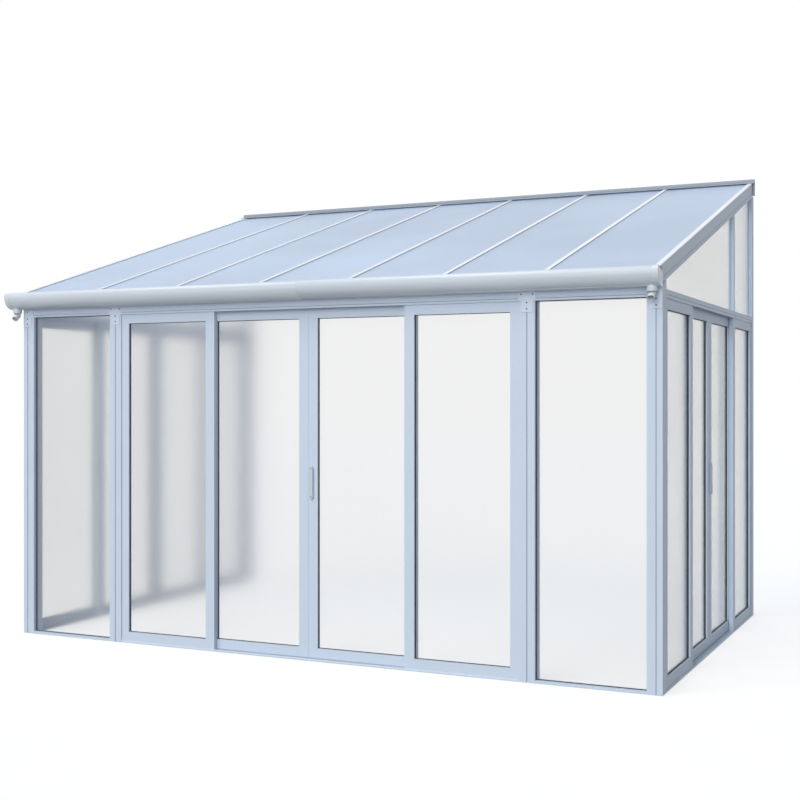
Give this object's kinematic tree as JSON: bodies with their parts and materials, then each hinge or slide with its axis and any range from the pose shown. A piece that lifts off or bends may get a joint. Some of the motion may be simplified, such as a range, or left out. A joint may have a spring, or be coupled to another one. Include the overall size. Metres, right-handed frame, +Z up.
{
  "type": "patio enclosure",
  "caption": "Lean-to patio enclosure with a translucent sloping roof, rounded gutter, fixed front bays and sliding doors with fixed and moving leaves on three sides.",
  "frame": {"origin": "floor level, middle of the front wall's thickness, middle of the width", "axes": "+X along the front to the right seen from outside, +Y from the front to the house wall, +Z up"},
  "size_m": [4.329, 2.85, 3.1113],
  "materials": {
    "frame": "satin powder coat on aluminium",
    "cap": "satin powder coat on aluminium",
    "gutter": "smooth powder coat on aluminium",
    "glazing": "frosted translucent sheet",
    "roof_sheet": "frosted translucent sheet",
    "gasket": "matt black",
    "handle": "satin grey",
    "roller": "hard nylon",
    "steel": "plain"
  },
  "bodies": {
    "enclosure": {"corner_posts": "frame", "door_posts": "frame", "wall_posts": "frame", "eaves_beam": "frame", "side_beams": "frame", "door_sills": "frame", "floor_screws": "steel", "bay_sills": "frame", "bay_panes": "glazing", "fixed_leaf_frames": "frame", "fixed_leaf_panes": "glazing", "fixed_gaskets": "gasket", "rafters": "frame", "edge_rafters": "frame", "roof_panels": "roof_sheet", "rafter_caps": "cap", "wall_plate": "frame", "gutter_left": "gutter", "gutter_right": "gutter", "gutter_joiner": "gutter", "gutter_end_caps": "gutter", "gutter_outlets": "gutter", "post_brackets": "frame", "bracket_screws": "steel", "gable_mullions": "frame", "gable_panes": "glazing"},
    "front_slider_left": {"front_slider_left": "frame", "front_slider_left_pane": "glazing", "front_slider_left_gasket": "gasket"},
    "front_slider_left_wheel_1": {"front_slider_left_wheel_1": "roller"},
    "front_slider_left_wheel_2": {"front_slider_left_wheel_2": "roller"},
    "front_slider_right": {"front_slider_right": "frame", "front_slider_right_pane": "glazing", "front_slider_right_gasket": "gasket", "front_handle": "handle"},
    "front_slider_right_wheel_1": {"front_slider_right_wheel_1": "roller"},
    "front_slider_right_wheel_2": {"front_slider_right_wheel_2": "roller"},
    "right_slider_front": {"right_slider_front": "frame", "right_slider_front_pane": "glazing", "right_slider_front_gasket": "gasket"},
    "right_slider_front_wheel_1": {"right_slider_front_wheel_1": "roller"},
    "right_slider_front_wheel_2": {"right_slider_front_wheel_2": "roller"},
    "right_slider_rear": {"right_slider_rear": "frame", "right_slider_rear_pane": "glazing", "right_slider_rear_gasket": "gasket", "right_handle": "handle"},
    "right_slider_rear_wheel_1": {"right_slider_rear_wheel_1": "roller"},
    "right_slider_rear_wheel_2": {"right_slider_rear_wheel_2": "roller"},
    "left_slider_rear": {"left_slider_rear": "frame", "left_slider_rear_pane": "glazing", "left_slider_rear_gasket": "gasket"},
    "left_slider_rear_wheel_1": {"left_slider_rear_wheel_1": "roller"},
    "left_slider_rear_wheel_2": {"left_slider_rear_wheel_2": "roller"},
    "left_slider_front": {"left_slider_front": "frame", "left_slider_front_pane": "glazing", "left_slider_front_gasket": "gasket", "left_handle": "handle"},
    "left_slider_front_wheel_1": {"left_slider_front_wheel_1": "roller"},
    "left_slider_front_wheel_2": {"left_slider_front_wheel_2": "roller"}
  },
  "joints": [
    {"name": "front_slider_left_slide", "type": "slide", "parent": "enclosure", "child": "front_slider_left", "axis": [-1, 0, 0], "range_m": [0, 0.637]},
    {"name": "front_slider_left_wheel_1_turn", "type": "hinge", "parent": "front_slider_left", "child": "front_slider_left_wheel_1", "pos_m": [-0.60075, 0.0095, 0.0163], "axis": [0, -1, 0], "range_deg": [0, 3660]},
    {"name": "front_slider_left_wheel_2_turn", "type": "hinge", "parent": "front_slider_left", "child": "front_slider_left_wheel_2", "pos_m": [-0.1025, 0.0095, 0.0163], "axis": [0, -1, 0], "range_deg": [0, 3660]},
    {"name": "front_slider_right_slide", "type": "slide", "parent": "enclosure", "child": "front_slider_right", "axis": [1, 0, 0], "range_m": [0, 0.601]},
    {"name": "front_slider_right_wheel_1_turn", "type": "hinge", "parent": "front_slider_right", "child": "front_slider_right_wheel_1", "pos_m": [0.1025, 0.0095, 0.0163], "axis": [0, 1, 0], "range_deg": [0, 3454]},
    {"name": "front_slider_right_wheel_2_turn", "type": "hinge", "parent": "front_slider_right", "child": "front_slider_right_wheel_2", "pos_m": [0.60075, 0.0095, 0.0163], "axis": [0, 1, 0], "range_deg": [0, 3454]},
    {"name": "right_slider_front_slide", "type": "slide", "parent": "enclosure", "child": "right_slider_front", "axis": [0, -1, 0], "range_m": [0, 0.618]},
    {"name": "right_slider_front_wheel_1_turn", "type": "hinge", "parent": "right_slider_front", "child": "right_slider_front_wheel_1", "pos_m": [2.073, 0.758, 0.0163], "axis": [1, 0, 0], "range_deg": [0, 3551]},
    {"name": "right_slider_front_wheel_2_turn", "type": "hinge", "parent": "right_slider_front", "child": "right_slider_front_wheel_2", "pos_m": [2.073, 1.2375, 0.0163], "axis": [1, 0, 0], "range_deg": [0, 3551]},
    {"name": "right_slider_rear_slide", "type": "slide", "parent": "enclosure", "child": "right_slider_rear", "axis": [0, 1, 0], "range_m": [0, 0.582]},
    {"name": "right_slider_rear_wheel_1_turn", "type": "hinge", "parent": "right_slider_rear", "child": "right_slider_rear_wheel_1", "pos_m": [2.073, 1.4425, 0.0163], "axis": [-1, 0, 0], "range_deg": [0, 3345]},
    {"name": "right_slider_rear_wheel_2_turn", "type": "hinge", "parent": "right_slider_rear", "child": "right_slider_rear_wheel_2", "pos_m": [2.073, 1.922, 0.0163], "axis": [-1, 0, 0], "range_deg": [0, 3345]},
    {"name": "left_slider_rear_slide", "type": "slide", "parent": "enclosure", "child": "left_slider_rear", "axis": [0, 1, 0], "range_m": [0, 0.618]},
    {"name": "left_slider_rear_wheel_1_turn", "type": "hinge", "parent": "left_slider_rear", "child": "left_slider_rear_wheel_1", "pos_m": [-2.073, 1.922, 0.0163], "axis": [-1, 0, 0], "range_deg": [0, 3551]},
    {"name": "left_slider_rear_wheel_2_turn", "type": "hinge", "parent": "left_slider_rear", "child": "left_slider_rear_wheel_2", "pos_m": [-2.073, 1.4425, 0.0163], "axis": [-1, 0, 0], "range_deg": [0, 3551]},
    {"name": "left_slider_front_slide", "type": "slide", "parent": "enclosure", "child": "left_slider_front", "axis": [0, -1, 0], "range_m": [0, 0.582]},
    {"name": "left_slider_front_wheel_1_turn", "type": "hinge", "parent": "left_slider_front", "child": "left_slider_front_wheel_1", "pos_m": [-2.073, 1.2375, 0.0163], "axis": [1, 0, 0], "range_deg": [0, 3345]},
    {"name": "left_slider_front_wheel_2_turn", "type": "hinge", "parent": "left_slider_front", "child": "left_slider_front_wheel_2", "pos_m": [-2.073, 0.758, 0.0163], "axis": [1, 0, 0], "range_deg": [0, 3345]}
  ],
  "couplings": [
    {"joint": "front_slider_left_wheel_1_turn", "follows": "front_slider_left_slide", "rad_per_m": 100},
    {"joint": "front_slider_left_wheel_2_turn", "follows": "front_slider_left_slide", "rad_per_m": 100},
    {"joint": "front_slider_right_wheel_1_turn", "follows": "front_slider_right_slide", "rad_per_m": 100},
    {"joint": "front_slider_right_wheel_2_turn", "follows": "front_slider_right_slide", "rad_per_m": 100},
    {"joint": "right_slider_front_wheel_1_turn", "follows": "right_slider_front_slide", "rad_per_m": 100},
    {"joint": "right_slider_front_wheel_2_turn", "follows": "right_slider_front_slide", "rad_per_m": 100},
    {"joint": "right_slider_rear_wheel_1_turn", "follows": "right_slider_rear_slide", "rad_per_m": 100},
    {"joint": "right_slider_rear_wheel_2_turn", "follows": "right_slider_rear_slide", "rad_per_m": 100},
    {"joint": "left_slider_rear_wheel_1_turn", "follows": "left_slider_rear_slide", "rad_per_m": 100},
    {"joint": "left_slider_rear_wheel_2_turn", "follows": "left_slider_rear_slide", "rad_per_m": 100},
    {"joint": "left_slider_front_wheel_1_turn", "follows": "left_slider_front_slide", "rad_per_m": 100},
    {"joint": "left_slider_front_wheel_2_turn", "follows": "left_slider_front_slide", "rad_per_m": 100}
  ]
}
